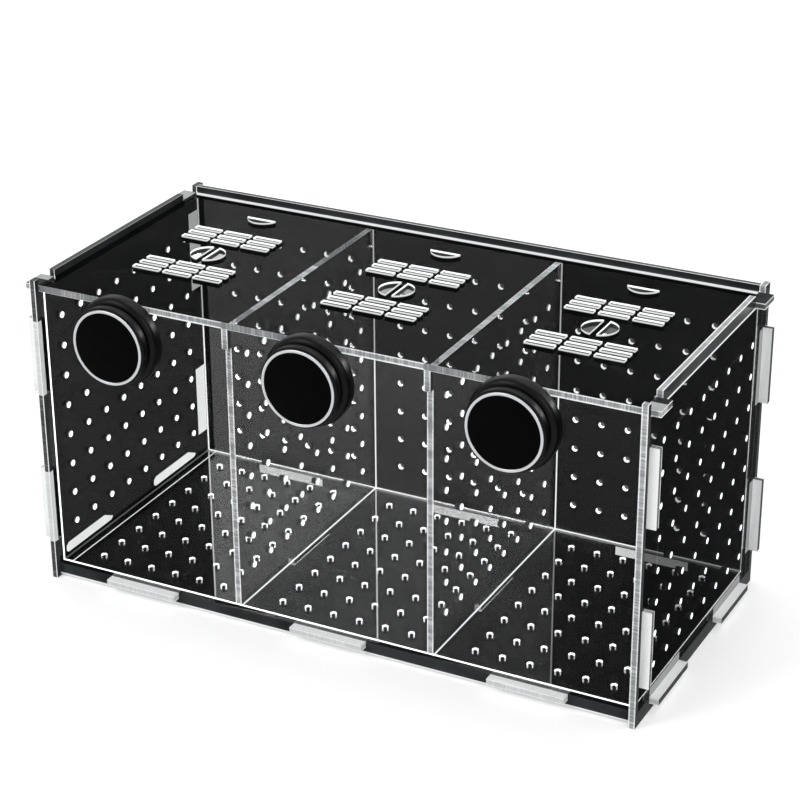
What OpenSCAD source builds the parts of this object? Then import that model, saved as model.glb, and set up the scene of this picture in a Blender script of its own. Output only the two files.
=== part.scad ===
// Fish breeding box: a flat-pack tank of laser-cut sheets with three
// compartments, a lift-off lid and three magnet pairs that clamp it to glass.
// Millimetres. +X right, +Y to the rear, +Z up.
// The origin is the middle of the bounding box, on the resting plane.

/* [Box] */
// Width over the two side panels
box_w = 300; // [240:1:400]
// Depth of a side panel, front edge to rear edge
box_d = 146; // [120:1:220]
// Height of a side panel
box_h = 153; // [140:1:220]
// Thickness of every sheet
sheet_t = 3; // [2:0.5:4]
// How far the side panels reach past the front and rear panels
side_overhang = 3; // [1:0.5:8]
// Height of the floor panel's underside above the resting plane
floor_lift = 4; // [3:0.5:10]
// Height of the front and rear panels' lower edges above the resting plane
skirt_gap = 1; // [0.5:0.5:2.5]
// How far the lid's top lies below the side panels' top edges
lid_drop = 3; // [1:0.5:6]

/* [Tabs and slots] */
// How far each tab comes out past the sheet it goes through
tab_out = 4.3; // [0.5:0.1:8]
// Gap on each side of a tab in its slot
slot_gap = 0.1; // [0.05:0.05:0.3]
// Height of each tab on the ends of the front and rear panels
wall_tab_h = 37; // [20:1:45]
// Height of the lower wall tabs' middle
wall_tab_low_z = 38; // [32:1:42]
// Distance of the upper wall tabs' middle below the side panels' top edges
wall_tab_drop = 38.5; // [34:0.5:45]
// Length of each floor tab that goes through a side panel
side_tab_l = 35; // [15:1:50]
// Distance of those tabs' middles from the side panel's nearest upright edge
side_tab_edge = 34; // [24:0.5:36]
// Length of each floor tab that goes through the front or rear panel
end_tab_l = 37; // [15:1:60]
// Length of the tab under each divider
divider_tab_l = 35; // [15:1:80]
// Height of the two ears at a divider's top
divider_ear_h = 9.5; // [5:0.5:20]

/* [Water holes] */
// Diameter of each water hole
hole_d = 3; // [2:0.1:4]
// Rows of water holes on an upright sheet
wall_rows = 8; // [3:1:8]
// Height of the lowest row
wall_row_z = 22.3; // [18:0.1:26]
// Distance of the highest row below the side panels' top edges
wall_row_drop = 23.6; // [16:0.1:30]
// Columns of water holes on a side panel or divider
side_cols = 8; // [3:1:8]
// Distance of the outermost columns from the side panel's upright edges
side_col_edge = 19.4; // [12:0.1:26]
// Columns of water holes per compartment on the floor and rear panel
cross_cols = 6; // [2:1:6]
// Distance of the outermost of those columns from a compartment's sides
cross_col_edge = 14.5; // [8:0.1:20]
// Rows of water holes on the floor
floor_rows = 8; // [3:1:8]
// Distance of the floor's outermost rows from the front and rear panels
floor_row_edge = 13.1; // [8:0.1:20]

/* [Lid] */
// Gap between the lid and a side panel
lid_play = 0.5; // [0.3:0.1:1.5]
// How far its front edge stays behind the front panel's face
lid_inset = 0.3; // [0.2:0.1:1.5]
// Length of each corner ear
lid_ear_l = 12; // [6:0.5:20]
// Length of each lid slot
lid_slot_l = 14; // [6:0.5:15]
// Width of each lid slot
lid_slot_w = 3; // [1.5:0.1:3.8]
// Distance between slots along the box
lid_slot_pitch_x = 16.2; // [15.5:0.1:20]
// Distance between rows of slots
lid_slot_pitch_y = 6; // [5:0.1:7]
// Distance of each slot group's middle from the lid's middle
lid_group_y = 21.5; // [18:0.5:24]
// Diameter across a pair of finger holes
finger_d = 16.6; // [14:0.1:20]
// Width of the bar that is left between them to pinch
finger_bar = 3.2; // [2.5:0.1:6]
// Width of the half-moon feeding hole
feed_w = 15.5; // [10:0.5:20]
// Depth of the feeding hole, front to rear
feed_h = 5.6; // [4.5:0.1:7]
// Distance of its straight edge from the lid's rear edge
feed_edge = 18; // [8:0.5:22]

/* [Magnet clamps] */
// How much closer together the clamps are than the compartments' middles
clamp_gather = 2; // [0:0.5:10]
// Distance of the middle clamp from the box's middle
clamp_shift = -6; // [-12:0.5:12]
// Distance of the clamps' middles below the lid
clamp_drop = 14.5; // [13:0.5:40]
// Radius of an inner half
inner_r = 21; // [17:0.1:26]
// Thickness of an inner half
inner_t = 7; // [6.5:0.1:12]
// Radius of the rounding on its rim
inner_round = 3; // [0.5:0.1:3.5]
// Radius of an outer half
outer_r = 18.8; // [17.5:0.1:24]
// Thickness of an outer half's housing
outer_t = 4.2; // [4:0.1:9]
// Radius of the soft pads between the halves
pad_r = 17; // [12:0.5:17.2]
// Thickness of each pad
pad_t = 0.4; // [0.2:0.1:1]
// Wall left between a magnet and the glass side of its housing
magnet_wall = 1; // [0.6:0.1:1.4]
// Radius of an outer magnet
outer_magnet_r = 14; // [8:0.5:15]
// Gap round each magnet in its housing
magnet_gap = 0.2; // [0.1:0.05:0.4]
// Radius of an inner ring magnet
inner_magnet_r = 15; // [10:0.5:17]
// Radius of its central hole
inner_magnet_hole_r = 4.6; // [4.2:0.1:6]
// Thickness of an inner ring magnet
inner_magnet_t = 4; // [2:0.1:5]
// Width of the trim ring's face
trim_w = 1.9; // [1:0.1:3]
// Thickness of the trim ring and of the face disc
trim_t = 1; // [0.6:0.1:2]
// Gap round the face disc
face_gap = 0.1; // [0.05:0.05:0.3]
// Size of the slope on an outer housing's rim
outer_slope = 0.4; // [0.2:0.1:0.8]

/* [Fixing screws] */
// Radius of a screw's shank
screw_r = 2; // [1.5:0.1:2.5]
// Radius of its head
screw_head_r = 3.6; // [3:0.1:5]
// Thickness of its head
screw_head_t = 2.2; // [1.5:0.1:3.5]
// Length of its shank
screw_l = 7.6; // [6:0.1:9]
// Radius of its cross-slot's reach
screw_drive_r = 2; // [1.2:0.1:2.4]
// Width of the cross-slot
screw_drive_w = 0.9; // [0.5:0.1:1.2]
// Gap round the shank in the panel
screw_gap = 0.25; // [0.1:0.05:0.5]
// Gap round the shank in the housing
thread_gap = 0.1; // [0.05:0.05:0.2]

/* [Hidden] */
$fn = 64;
// Overlap of a cutting shape past the face it cuts
cut = 1;
// Steps in the rounding of a rim
round_steps = 6;
// Middle planes of the upright sheets
side_x = (box_w - sheet_t) / 2;
wall_y = box_d / 2 - side_overhang - sheet_t / 2;
front_y = -wall_y;
rear_y = wall_y;
// Clear space between the outer sheets, and of one of the three compartments
inside_w = box_w - 2 * sheet_t;
inside_d = 2 * wall_y - sheet_t;
compartment_w = (inside_w - 2 * sheet_t) / 3;
compartment_pitch = compartment_w + sheet_t;
divider_x = compartment_pitch / 2;
// Heights of the lid's underside, the floor's top and the upper wall tabs
lid_z = box_h - lid_drop - sheet_t;
floor_top_z = floor_lift + sheet_t;
wall_tab_high_z = box_h - wall_tab_drop;
side_tab_y = box_d / 2 - side_tab_edge;
// Spacing of the water holes
wall_row_pitch = (box_h - wall_row_drop - wall_row_z) / (wall_rows - 1);
side_col_pitch = (box_d - 2 * side_col_edge) / (side_cols - 1);
cross_col_pitch = (compartment_w - 2 * cross_col_edge) / (cross_cols - 1);
floor_row_pitch = (inside_d - 2 * floor_row_edge) / (floor_rows - 1);
// A tab's full length from its sheet's edge to its end
tab_l = sheet_t + tab_out;
slot_w = sheet_t + 2 * slot_gap;
// Rear group of hole columns: one column is left out at each divider
rear_group_pitch = (cross_cols + 1) * cross_col_pitch;
lid_front_y = front_y - sheet_t / 2 + lid_inset;
lid_rear_y = rear_y - sheet_t / 2 - lid_play;
lid_mid_y = (lid_front_y + lid_rear_y) / 2;
lid_d = lid_rear_y - lid_front_y;
// Places of the clamps' middles
clamp_pitch = compartment_pitch - clamp_gather;
clamp_z = lid_z - clamp_drop;
// Positions along a clamp's axis, from the front panel outwards
panel_face_y = front_y - sheet_t / 2;
outer_pad_d = inner_t + pad_t;
outer_start_d = outer_pad_d + pad_t;
outer_end_d = outer_start_d + outer_t;
clamp_reach = outer_end_d + trim_t;
outer_magnet_t = outer_t - magnet_wall;
trim_r = outer_r - outer_slope;
// Reach of the parts in front of and behind the box's middle
front_reach = clamp_reach - panel_face_y;
rear_reach = rear_y + sheet_t / 2 + tab_out;
centre_y = (front_reach - rear_reach) / 2;

// A block centred in X and Y that stands on its given height.
module slab(size, at) {
    translate([at[0] - size[0] / 2, at[1] - size[1] / 2, at[2]])
        cube(size);
}

// A grid of round holes through a sheet that faces X, about its middle.
module holes_x(x, cols, pitch) {
    for (col = [0 : cols - 1], row = [0 : wall_rows - 1])
        translate([
            x - sheet_t / 2 - cut,
            (col - (cols - 1) / 2) * pitch,
            wall_row_z + row * wall_row_pitch
        ])
            rotate([0, 90, 0])
                cylinder(h = sheet_t + 2 * cut, d = hole_d);
}

// Holes through a side panel for the tabs of the front, rear and floor panels.
module side_panel_slots(x) {
    through = sheet_t + 2 * cut;
    for (y = [front_y, rear_y], z = [wall_tab_low_z, wall_tab_high_z])
        slab(
            [through, slot_w, wall_tab_h + 2 * slot_gap],
            [x, y, z - wall_tab_h / 2 - slot_gap]
        );
    for (y = [-side_tab_y, side_tab_y])
        slab(
            [through, side_tab_l + 2 * slot_gap, slot_w],
            [x, y, floor_lift - slot_gap]
        );
}

// Open-topped notches in a side panel that take the lid's ears.
module lid_notches(x) {
    for (y = [lid_front_y + lid_ear_l / 2, lid_rear_y - lid_ear_l / 2])
        slab(
            [sheet_t + 2 * cut, lid_ear_l + 2 * lid_play, box_h],
            [x, y, lid_z]
        );
}

module side_panel(side) {
    x = side * side_x;
    translate([0, centre_y, 0])
        difference() {
            slab([sheet_t, box_d, box_h], [x, 0, 0]);
            holes_x(x, side_cols, side_col_pitch);
            side_panel_slots(x);
            lid_notches(x);
        }
}

// The plain outline of a front or rear panel, with the tabs on its ends.
module wall_sheet(y, top_z) {
    slab([inside_w, sheet_t, top_z - skirt_gap], [0, y, skirt_gap]);
    for (z = [wall_tab_low_z, wall_tab_high_z])
        slab([inside_w + 2 * tab_l, sheet_t, wall_tab_h], [0, y, z - wall_tab_h / 2]);
}

// Holes in a front or rear panel for the floor's tabs.
module end_tab_slots(y) {
    for (i = [-1 : 1])
        slab(
            [end_tab_l + 2 * slot_gap, sheet_t + 2 * cut, slot_w],
            [i * compartment_pitch, y, floor_lift - slot_gap]
        );
}

// Holes in a front or rear panel for the dividers' ears.
module divider_ear_slots(y, top_z) {
    ear_z = lid_z - divider_ear_h - slot_gap;
    for (side = [-1, 1])
        slab([slot_w, sheet_t + 2 * cut, top_z - ear_z], [side * divider_x, y, ear_z]);
}

module front_panel() {
    color("dimgray")
        translate([0, centre_y, 0])
            difference() {
                wall_sheet(front_y, lid_z);
                end_tab_slots(front_y);
                divider_ear_slots(front_y, lid_z + cut);
                for (i = [-1 : 1])
                    translate([clamp_x(i), front_y + sheet_t / 2 + cut, clamp_z])
                        rotate([90, 0, 0])
                            cylinder(h = sheet_t + 2 * cut, r = screw_r + screw_gap);
            }
}

module rear_panel() {
    color("dimgray")
        translate([0, centre_y, 0])
            difference() {
                wall_sheet(rear_y, box_h);
                end_tab_slots(rear_y);
                divider_ear_slots(rear_y, lid_z + slot_gap);
                for (i = [-1 : 1], col = [0 : cross_cols - 1], row = [0 : wall_rows - 1])
                    translate([
                        i * rear_group_pitch + (col - (cross_cols - 1) / 2) * cross_col_pitch,
                        rear_y + sheet_t / 2 + cut,
                        wall_row_z + row * wall_row_pitch
                    ])
                        rotate([90, 0, 0])
                            cylinder(h = sheet_t + 2 * cut, d = hole_d);
            }
}

module floor_panel() {
    color("dimgray")
        translate([0, centre_y, floor_lift])
            difference() {
                union() {
                    slab([inside_w, inside_d, sheet_t], [0, 0, 0]);
                    for (y = [-side_tab_y, side_tab_y])
                        slab([inside_w + 2 * tab_l, side_tab_l, sheet_t], [0, y, 0]);
                    for (i = [-1 : 1])
                        slab(
                            [end_tab_l, inside_d + 2 * tab_l, sheet_t],
                            [i * compartment_pitch, 0, 0]
                        );
                }
                for (side = [-1, 1])
                    slab(
                        [slot_w, divider_tab_l + 2 * slot_gap, sheet_t + 2 * cut],
                        [side * divider_x, 0, -cut]
                    );
                for (i = [-1 : 1], col = [0 : cross_cols - 1], row = [0 : floor_rows - 1])
                    translate([
                        i * compartment_pitch + (col - (cross_cols - 1) / 2) * cross_col_pitch,
                        (row - (floor_rows - 1) / 2) * floor_row_pitch,
                        -cut
                    ])
                        cylinder(h = sheet_t + 2 * cut, d = hole_d);
            }
}

module divider(side) {
    x = side * divider_x;
    color("dimgray")
        translate([0, centre_y, 0])
            difference() {
                union() {
                    slab([sheet_t, inside_d, lid_z - floor_top_z], [x, 0, floor_top_z]);
                    slab([sheet_t, divider_tab_l, sheet_t], [x, 0, floor_lift]);
                    slab(
                        [sheet_t, inside_d + 2 * sheet_t, divider_ear_h],
                        [x, 0, lid_z - divider_ear_h]
                    );
                }
                holes_x(x, side_cols, side_col_pitch);
            }
}

// One compartment's openings in the lid: slots, finger holes, feeding hole.
module lid_openings(x) {
    deep = sheet_t + 2 * cut;
    for (end = [-1, 1], col = [-1 : 1], row = [-1 : 1])
        slab([lid_slot_l, lid_slot_w, deep], [
            x + col * lid_slot_pitch_x,
            lid_mid_y + end * lid_group_y + row * lid_slot_pitch_y,
            lid_z - cut
        ]);
    difference() {
        translate([x, lid_mid_y, lid_z - cut])
            cylinder(h = deep, d = finger_d);
        slab([finger_bar, finger_d, deep], [x, lid_mid_y, lid_z - cut]);
    }
    feeding_hole(x);
}

// A half-moon hole: the part of a disc that lies in front of a straight edge.
module feeding_hole(x) {
    arc_r = feed_h / 2 + feed_w * feed_w / (8 * feed_h);
    edge_y = lid_rear_y - feed_edge;
    intersection() {
        translate([x, edge_y + arc_r - feed_h, lid_z - cut])
            cylinder(h = sheet_t + 2 * cut, r = arc_r);
        slab([feed_w + cut, feed_h, sheet_t + 2 * cut], [x, edge_y - feed_h / 2, lid_z - cut]);
    }
}

module lid() {
    color("dimgray")
        translate([0, centre_y, 0])
            difference() {
                union() {
                    slab([inside_w - 2 * lid_play, lid_d, sheet_t], [0, lid_mid_y, lid_z]);
                    for (y = [lid_front_y + lid_ear_l / 2, lid_rear_y - lid_ear_l / 2])
                        slab([box_w + 2 * tab_out, lid_ear_l, sheet_t], [0, y, lid_z]);
                }
                for (i = [-1 : 1])
                    lid_openings(i * compartment_pitch);
            }
}

function clamp_x(i) = clamp_shift + i * clamp_pitch;

// Sets a clamp piece on the front panel: its own z runs outwards from it.
module on_clamp(i, depth) {
    translate([clamp_x(i), centre_y + panel_face_y - depth, clamp_z])
        rotate([90, 0, 0])
            children();
}

// A flat ring, or a disc when its hole's radius is 0.
module washer(outer, hole, thick) {
    difference() {
        cylinder(h = thick, r = outer);
        if (hole > 0)
            translate([0, 0, -cut])
                cylinder(h = thick + 2 * cut, r = hole);
    }
}

module inner_housing(i) {
    pocket = inner_magnet_t + magnet_gap;
    color("black")
        on_clamp(i, 0)
            difference() {
                rotate_extrude()
                    polygon(concat(
                        [[0, 0], [inner_r, 0]],
                        [for (s = [0 : round_steps]) [
                            inner_r - inner_round + inner_round * cos(90 * s / round_steps),
                            inner_t - inner_round + inner_round * sin(90 * s / round_steps)
                        ]],
                        [[0, inner_t]]
                    ));
                translate([0, 0, -cut])
                    washer(
                        inner_magnet_r + magnet_gap,
                        inner_magnet_hole_r - magnet_gap,
                        pocket + cut
                    );
                translate([0, 0, -cut])
                    cylinder(h = screw_l - sheet_t + thread_gap + cut, r = screw_r + thread_gap);
            }
}

module inner_magnet(i) {
    color("silver")
        on_clamp(i, magnet_gap)
            washer(inner_magnet_r, inner_magnet_hole_r, inner_magnet_t);
}

module inner_pad(i) {
    color("gray")
        on_clamp(i, inner_t)
            washer(pad_r, 0, pad_t);
}

module outer_pad(i) {
    color("gray")
        on_clamp(i, outer_pad_d)
            washer(pad_r, 0, pad_t);
}

module outer_housing(i) {
    color("black")
        on_clamp(i, outer_start_d)
            difference() {
                union() {
                    cylinder(h = outer_t - outer_slope, r = outer_r);
                    translate([0, 0, outer_t - outer_slope])
                        cylinder(h = outer_slope, r1 = outer_r, r2 = trim_r);
                }
                translate([0, 0, magnet_wall])
                    cylinder(h = outer_t, r = outer_magnet_r + magnet_gap);
            }
}

module outer_magnet(i) {
    color("silver")
        on_clamp(i, outer_start_d + magnet_wall)
            cylinder(h = outer_magnet_t, r = outer_magnet_r);
}

module trim_ring(i) {
    color("lightgray")
        on_clamp(i, outer_end_d)
            washer(trim_r, trim_r - trim_w, trim_t);
}

module face_disc(i) {
    color("black")
        on_clamp(i, outer_end_d)
            cylinder(h = trim_t, r = trim_r - trim_w - face_gap);
}

module fixing_screws() {
    color("silver")
        for (i = [-1 : 1])
            on_clamp(i, -sheet_t - screw_head_t)
                difference() {
                    union() {
                        cylinder(h = screw_head_t, r = screw_head_r);
                        translate([0, 0, screw_head_t])
                            cylinder(h = screw_l, r = screw_r);
                    }
                    for (turn = [0, 90])
                        rotate([0, 0, turn])
                            slab([2 * screw_drive_r, screw_drive_w, screw_head_t / 2 + cut], [0, 0, -cut]);
                }
}

color("dimgray") side_panel(-1);  // left_side_panel
color("dimgray") side_panel(1);  // right_side_panel
front_panel();
rear_panel();
floor_panel();
divider(-1);  // left_divider
divider(1);  // right_divider
lid();
fixing_screws();
inner_housing(-1);  // left_inner_housing
inner_housing(0);  // middle_inner_housing
inner_housing(1);  // right_inner_housing
inner_magnet(-1);  // left_inner_magnet
inner_magnet(0);  // middle_inner_magnet
inner_magnet(1);  // right_inner_magnet
inner_pad(-1);  // left_inner_pad
inner_pad(0);  // middle_inner_pad
inner_pad(1);  // right_inner_pad
outer_pad(-1);  // left_outer_pad
outer_pad(0);  // middle_outer_pad
outer_pad(1);  // right_outer_pad
outer_housing(-1);  // left_outer_housing
outer_housing(0);  // middle_outer_housing
outer_housing(1);  // right_outer_housing
outer_magnet(-1);  // left_outer_magnet
outer_magnet(0);  // middle_outer_magnet
outer_magnet(1);  // right_outer_magnet
trim_ring(-1);  // left_trim_ring
trim_ring(0);  // middle_trim_ring
trim_ring(1);  // right_trim_ring
face_disc(-1);  // left_face_disc
face_disc(0);  // middle_face_disc
face_disc(1);  // right_face_disc
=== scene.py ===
# %% [markdown]
# # A fish breeding box
# The object is an isolation box for an aquarium: a flat-pack of laser-cut acrylic sheets that
# lock with tabs, a vented lid that lifts off, and magnet pairs that clamp the box to the glass.
# Its true shapes come from the CAD frame. This lesson dresses that frame: it sorts every face
# of a sheet by what it is and by the painted light or shade it gets, adds the weld beads, and
# models the magnet clamps finely.

# %% Load the frame
import math
from functools import partial

import bmesh
import bpy
from mathutils import Matrix, Quaternion, Vector


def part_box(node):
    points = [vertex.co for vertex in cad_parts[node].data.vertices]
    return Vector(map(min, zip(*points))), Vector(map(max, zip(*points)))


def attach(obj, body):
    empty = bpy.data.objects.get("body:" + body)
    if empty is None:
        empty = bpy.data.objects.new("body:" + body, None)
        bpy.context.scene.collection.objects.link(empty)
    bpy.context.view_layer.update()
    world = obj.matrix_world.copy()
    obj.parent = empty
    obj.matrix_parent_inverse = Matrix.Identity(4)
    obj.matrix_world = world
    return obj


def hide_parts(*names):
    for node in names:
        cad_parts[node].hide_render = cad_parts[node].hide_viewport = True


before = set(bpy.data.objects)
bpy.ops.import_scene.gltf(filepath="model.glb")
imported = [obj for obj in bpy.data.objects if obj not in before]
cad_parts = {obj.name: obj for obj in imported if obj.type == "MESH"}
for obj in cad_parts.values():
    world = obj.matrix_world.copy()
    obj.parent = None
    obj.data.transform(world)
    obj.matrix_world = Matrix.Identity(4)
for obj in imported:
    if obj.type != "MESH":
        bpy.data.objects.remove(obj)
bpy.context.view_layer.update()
MM = 0.001

# %% [markdown]
# ## The camera
# A product camera stands to the right, a little above the lid, with a long lens so that the
# box's edges stay nearly parallel. The aim point, a slight roll and a small lens shift set the
# framing, and the lens is worked out from its focal length in picture widths.

# %% Camera
CAMERA_PLACE = Vector((0.4564, -0.8806, 0.5574))
CAMERA_AIM = Vector((-0.0054, -0.0033, 0.0679))
CAMERA_ROLL = math.radians(-0.57)
FOCAL_WIDTHS = 2.9786
LENS_SHIFT = (0.0234, 0.0689)
camera_data = bpy.data.cameras.new("camera")
camera = bpy.data.objects.new("camera", camera_data)
bpy.context.scene.collection.objects.link(camera)
bpy.context.scene.camera = camera
camera_data.sensor_width = 36
camera_data.lens = FOCAL_WIDTHS * camera_data.sensor_width
camera_data.shift_x, camera_data.shift_y = LENS_SHIFT
camera.location = CAMERA_PLACE
camera.rotation_mode = "QUATERNION"
aim_turn = (CAMERA_AIM - CAMERA_PLACE).to_track_quat("-Z", "Y")
camera.rotation_quaternion = aim_turn @ Quaternion((0, 0, 1), CAMERA_ROLL)
print("lens in mm:", round(camera_data.lens, 1))

# %% [markdown]
# ## Nodes and colours
# A material is a small graph of nodes. One function adds a node with its settings and its
# links, and another turns an sRGB hex value, as a paint chart gives it, to the linear numbers
# that Blender works in.

# %% Node and colour helpers
def linear(hex_value):
    """The linear colour of an sRGB hex value."""
    colour = []
    for start in (1, 3, 5):
        share = int(hex_value[start : start + 2], 16) / 255
        colour.append(share / 12.92 if share <= 0.04045 else ((share + 0.055) / 1.055) ** 2.4)
    return tuple(colour) + (1,)


def add_node(tree, kind, settings=None, links=None):
    """Adds a node and sets its properties, socket values or ramp stops, and links its inputs.

    kind is the node's type without "ShaderNode". A link comes from a socket, or from a node,
    which stands for its first output.
    """
    node = tree.nodes.new("ShaderNode" + kind)
    for name, value in (settings or {}).items():
        if name == "stops":
            for band, (place, hex_value) in zip(node.color_ramp.elements, value):
                band.position = place
                band.color = linear(hex_value)
        elif isinstance(name, str) and hasattr(node, name):
            setattr(node, name, value)
        else:
            node.inputs[name].default_value = value
    for name, source in (links or {}).items():
        socket = source.outputs[0] if isinstance(source, bpy.types.Node) else source
        tree.links.new(socket, node.inputs[name])
    return node


def new_material(name):
    """A material with no nodes yet, and the function that adds nodes to it."""
    material = bpy.data.materials.new(name)
    material.use_nodes = True
    material.node_tree.nodes.clear()
    return material, partial(add_node, material.node_tree)


print("a mid grey, #808080, is", [round(share, 3) for share in linear("#808080")])

# %% [markdown]
# ## Surfaces that vary a little
# No real surface has one even colour and gloss. Here a noise texture drives each channel of a
# material: its tint, its roughness, and bumps where it has some. The noise is measured in real
# millimetres, and may run round an axis for lines left by a brush or a lathe.

# %% Material function: a varied surface
def varied_finish(name, settings, tint, gloss, relief=None, axis_place=None):
    """A material with noise in its channels, each given as (noise size, detail, low, high).

    tint's low and high are (place, hex) stops, gloss's are roughness, and relief's last two are
    the strength and height of bumps. axis_place is (x, z) of the Y axis that lines run round.
    """
    material, add = new_material(name)
    place = add("TexCoord").outputs["Object"]
    if axis_place:
        to_axis = {"operation": "SUBTRACT", 1: (axis_place[0], 0, axis_place[1])}
        place = add("VectorMath", to_axis, {0: place})
        place = add("VectorMath", {"operation": "MULTIPLY", 1: (1, 0, 1)}, {0: place})
        radius = add("VectorMath", {"operation": "LENGTH"}, {0: place}).outputs["Value"]
        place = add("CombineXYZ", links={"X": radius})
    channels = [
        ("Base Color", tint, "ValToRGB", "Fac", {"stops": tint[2:]}),
        ("Roughness", gloss, "MapRange", "Value", {"To Min": gloss[2], "To Max": gloss[3]}),
    ]
    if relief:
        bumps = {"Strength": relief[2], "Distance": relief[3]}
        channels.append(("Normal", relief, "Bump", "Height", bumps))
    links = {}
    for channel, (size, detail, *_), kind, entry, kind_settings in channels:
        noise = add("TexNoise", {"Scale": 1 / size, "Detail": detail}, {"Vector": place})
        links[channel] = add(kind, kind_settings, {entry: noise})
    add("OutputMaterial", links={"Surface": add("BsdfPrincipled", settings, links)})
    return material


print("channels: tint, gloss and relief")

# %% [markdown]
# ## Smoked cast acrylic
# Cast acrylic (PMMA) leaves its mould with a glass-smooth face, and a grey tint makes it smoked.
# A true glass shader would bend light through eight crossed sheets, which is slow and noisy.
# Here the alpha of a sheet hides a share of what lies behind each of its two faces, so it
# counts twice. Wiping leaves a faint uneven haze in the gloss, and casting leaves a very long,
# low wave. Each part of the box is seen against a light of its own and looks lighter or darker
# for it, so each gets an alpha of its own: the same acrylic, lighter with painted light in
# some parts and darker with painted shade in others. All finishes of the sheets go into one
# table.

# %% Materials: smoked cast acrylic
HAZE_SIZE = 25 * MM
WAVE_LENGTH = 60 * MM


def smoked_sheet(name, alpha, ior=1.06, dark="#040505", light="#0b0c0d"):
    """Smoked acrylic. Both faces of a sheet mirror, so the IOR is far under acrylic's 1.49."""
    tint = (HAZE_SIZE, 4.0, (0.35, dark), (0.65, light))
    gloss, wave = (HAZE_SIZE, 4.0, 0.03, 0.12), (WAVE_LENGTH, 1.0, 0.05, 0.4 * MM)
    print(name, "lets through", round((1 - alpha) ** 2, 3))
    return varied_finish(name, {"IOR": ior, "Alpha": alpha}, tint, gloss, wave)


sheet_finish = {
    # polished dark panes, through which the inside still shows
    "face": smoked_sheet("smoked_cast_acrylic_pmma", 0.65),
    # the lid: painted shade makes it nearly black, with no sheen to wash out what lies below it
    "deep": smoked_sheet("smoked_acrylic_painted_darker", 0.77, ior=1.015),
    # the right side panel, darkest with painted shade, which only shows a trace of the inside
    "dark": smoked_sheet("smoked_acrylic_painted_darkest", 0.84, ior=1.015),
    # parts with the bright table close behind them: painted light makes them a light grey film
    "half": smoked_sheet("smoked_acrylic_painted_lighter", 0.43),
    "light": smoked_sheet("smoked_acrylic_painted_lightest", 0.3),
    # bonded and inner walls, which add almost nothing to the sheets they lie in
    "plain": smoked_sheet("clear_cast_acrylic", 0.05),
    # rims past the joints, filled with stray light, so a flat dark grey
    "border": smoked_sheet("smoked_cast_acrylic_border", 0.97, dark="#27292a", light="#393c3d"),
}

# %% [markdown]
# ## Laser-cut edges
# A laser melts its way through acrylic and leaves an edge that scatters the light which the
# sheet pipes to it, so cut edges look frosted and lit against the dark faces. The beam drags
# fine lines across the thickness, and the two corners catch the most light, which is painted
# here as a lighter colour. Each sheet's mesh carries an attribute for this, cut_place: two
# coordinates in its plane, and a third that runs from -1 to 1 across its thickness. Piped
# light could only be traced with glass shaders, so a painted glow stands for it. The glow is
# faint on open edges, and strong on those that lie behind a sheet, because the sheet's alpha
# takes most of it away again.

# %% Material function: laser-cut edge
DRAG_LINE_PITCH = 0.9 * MM  # real ones are finer, but would be lost at this distance
DRAG_PATCH_SIZE = 9 * MM
FROST_ROUGHNESS = {"To Min": 0.35, "To Max": 0.6}


def cut_edge(name, dark, light, glow, grain=1.0, corners=(0.45, 0.95), one_sided=False):
    """A frosted edge with a painted glow: dark mid-thickness, painted light at its corners."""
    material, add = new_material(name)
    cut = add("Attribute", {"attribute_name": "cut_place"}).outputs["Vector"]
    across = add("SeparateXYZ", links={"Vector": cut}).outputs["Z"]
    across = add("Math", {"operation": "ABSOLUTE"}, {0: across})
    corner_range = {"From Min": corners[0], "From Max": corners[1]}
    corner_range["interpolation_type"] = "SMOOTHSTEP"
    corner = add("MapRange", corner_range, {"Value": across})
    flat = add("VectorMath", {"operation": "MULTIPLY", 1: (1, 1, 0)}, {0: cut})
    line_settings = {"Scale": 1 / DRAG_LINE_PITCH, "Detail": 3.0, "Roughness": 0.7}
    lines = add("TexNoise", line_settings, {"Vector": flat})
    patches = add("TexNoise", {"Scale": 1 / DRAG_PATCH_SIZE, "Detail": 2.0}, {"Vector": flat})
    streak = add("MapRange", {"To Min": -0.9 * grain, "To Max": 1.1 * grain}, {"Value": lines})
    cloud_range = {"To Min": -0.45 * grain, "To Max": 0.45 * grain}
    cloud = add("MapRange", cloud_range, {"Value": patches})
    texture = add("Math", {"operation": "ADD"}, {0: streak, 1: cloud})
    clamped_sum = {"operation": "ADD", "use_clamp": True}
    lightness = add("Math", clamped_sum, {0: corner, 1: texture})
    colour = add("ValToRGB", {"stops": [(0.0, dark), (1.0, light)]}, {"Fac": lightness})
    links = {
        "Base Color": colour,
        "Emission Color": colour,
        "Roughness": add("MapRange", FROST_ROUGHNESS, {"Value": lines}),
        "Normal": add("Bump", {"Strength": 0.4, "Distance": 0.05 * MM}, {"Height": lines}),
    }
    if one_sided:
        back = add("NewGeometry").outputs["Backfacing"]
        front_only = {"operation": "MULTIPLY_ADD", 1: -glow, 2: glow}
        links["Emission Strength"] = add("Math", front_only, {0: back})
    frosted = add("BsdfPrincipled", {"IOR": 1.49, "Emission Strength": glow}, links)
    add("OutputMaterial", links={"Surface": frosted})
    return material


print("drag lines in mm:", DRAG_LINE_PITCH / MM)
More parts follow.
